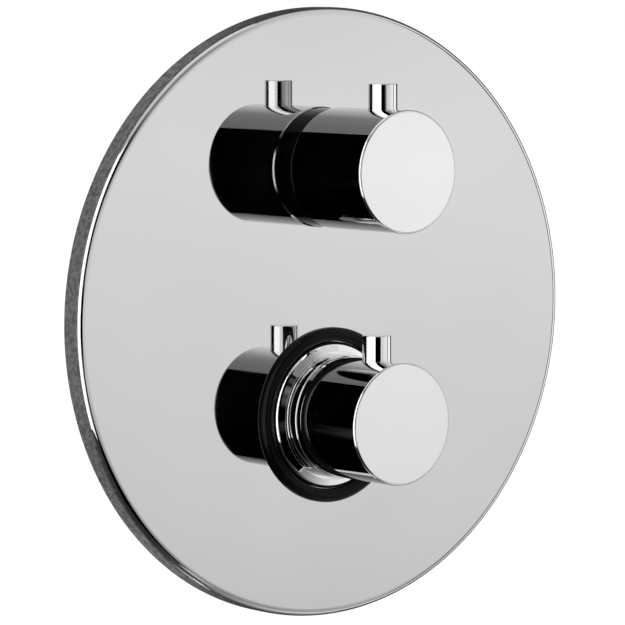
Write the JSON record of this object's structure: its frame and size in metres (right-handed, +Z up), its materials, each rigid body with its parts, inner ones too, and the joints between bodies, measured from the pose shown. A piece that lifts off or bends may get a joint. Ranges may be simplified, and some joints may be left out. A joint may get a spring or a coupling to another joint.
{
  "type": "thermostatic shower valve",
  "caption": "Concealed thermostatic shower valve: round wall plate, diverter knob above and temperature knob below, on a body with two inlets and two outlets.",
  "frame": {"origin": "centre of the round wall plate, in the plane of the finished wall", "axes": "+X to the right for someone who faces the wall, +Y into the wall, +Z up"},
  "size_m": [0.22, 0.1283, 0.22],
  "materials": {
    "mirror_plate": "mirror-polished face, plain unpolished rim",
    "foam": "closed-cell foam",
    "chrome": "mirror-bright plating",
    "black_gloss_plastic": "glossy",
    "black_rubber": "matte",
    "stainless_steel": "plain",
    "spring_steel": "drawn wire",
    "nylon": "natural nylon",
    "brass": "cast and machined",
    "grey_plastic": "glass-filled, matte",
    "white_plastic": "matte",
    "ceramic": null
  },
  "bodies": {
    "valve": {"wall_plate": "mirror_plate", "plate_seal": "foam", "upper_sleeve": "chrome", "upper_guide_ring": "black_gloss_plastic", "lower_sleeve": "chrome", "rubber_ring": "black_rubber", "bell_flange": "chrome", "grooved_collar": "chrome", "valve_body": "brass", "diverter_head_part": "brass", "thermostat_head_part": "brass", "spindle_o_rings": "black_rubber", "thermostat_housing": "grey_plastic", "thermostat_o_rings": "black_rubber", "return_spring": "spring_steel", "diverter_base_seal": "black_rubber", "fixed_ceramic_disc": "ceramic", "diverter_housing": "grey_plastic", "hot_strainer": "stainless_steel", "cold_strainer": "stainless_steel", "hot_check_valve_cage": "white_plastic", "cold_check_valve_cage": "white_plastic", "hot_check_valve_spring": "spring_steel", "cold_check_valve_spring": "spring_steel"},
    "diverter_handle": {"diverter_knob": "chrome", "diverter_knob_pin": "chrome", "diverter_grub_screw": "stainless_steel", "diverter_spline_adapter": "nylon", "diverter_spindle": "brass", "moving_ceramic_disc": "ceramic"},
    "temperature_handle": {"temperature_knob": "chrome", "temperature_knob_pin": "chrome", "temperature_grub_screw": "stainless_steel", "temperature_spline_adapter": "nylon", "temperature_stop_ring": "nylon", "temperature_spindle": "brass"},
    "thermostat_shuttle": {"regulating_shuttle": "grey_plastic", "wax_element": "brass", "push_disc": "stainless_steel", "overload_spring": "spring_steel", "overload_cup": "grey_plastic"},
    "hot_check_poppet": {"hot_check_valve_poppet": "white_plastic"},
    "cold_check_poppet": {"cold_check_valve_poppet": "white_plastic"}
  },
  "joints": [
    {"name": "diverter_turn", "type": "hinge", "parent": "valve", "child": "diverter_handle", "pos_m": [0, 0, 0.0525], "axis": [0, -1, 0], "range_deg": [-90, 90]},
    {"name": "temperature_turn", "type": "hinge", "parent": "valve", "child": "temperature_handle", "pos_m": [0, 0, -0.0368], "axis": [0, -1, 0], "range_deg": [-150, 60]},
    {"name": "shuttle_slide", "type": "slide", "parent": "valve", "child": "thermostat_shuttle", "axis": [0, -1, 0], "range_m": [-0.00065, 0.00027], "deforming": ["return_spring"]},
    {"name": "hot_check_slide", "type": "slide", "parent": "valve", "child": "hot_check_poppet", "axis": [1, 0, 0], "range_m": [0, 0.002], "stiffness_N_per_m": 150, "springref_m": -0.002, "deforming": ["hot_check_valve_spring"]},
    {"name": "cold_check_slide", "type": "slide", "parent": "valve", "child": "cold_check_poppet", "axis": [-1, 0, 0], "range_m": [0, 0.002], "stiffness_N_per_m": 150, "springref_m": -0.002, "deforming": ["cold_check_valve_spring"]}
  ],
  "couplings": [
    {"joint": "shuttle_slide", "follows": "temperature_turn", "m_per_rad": 0.00023873}
  ]
}
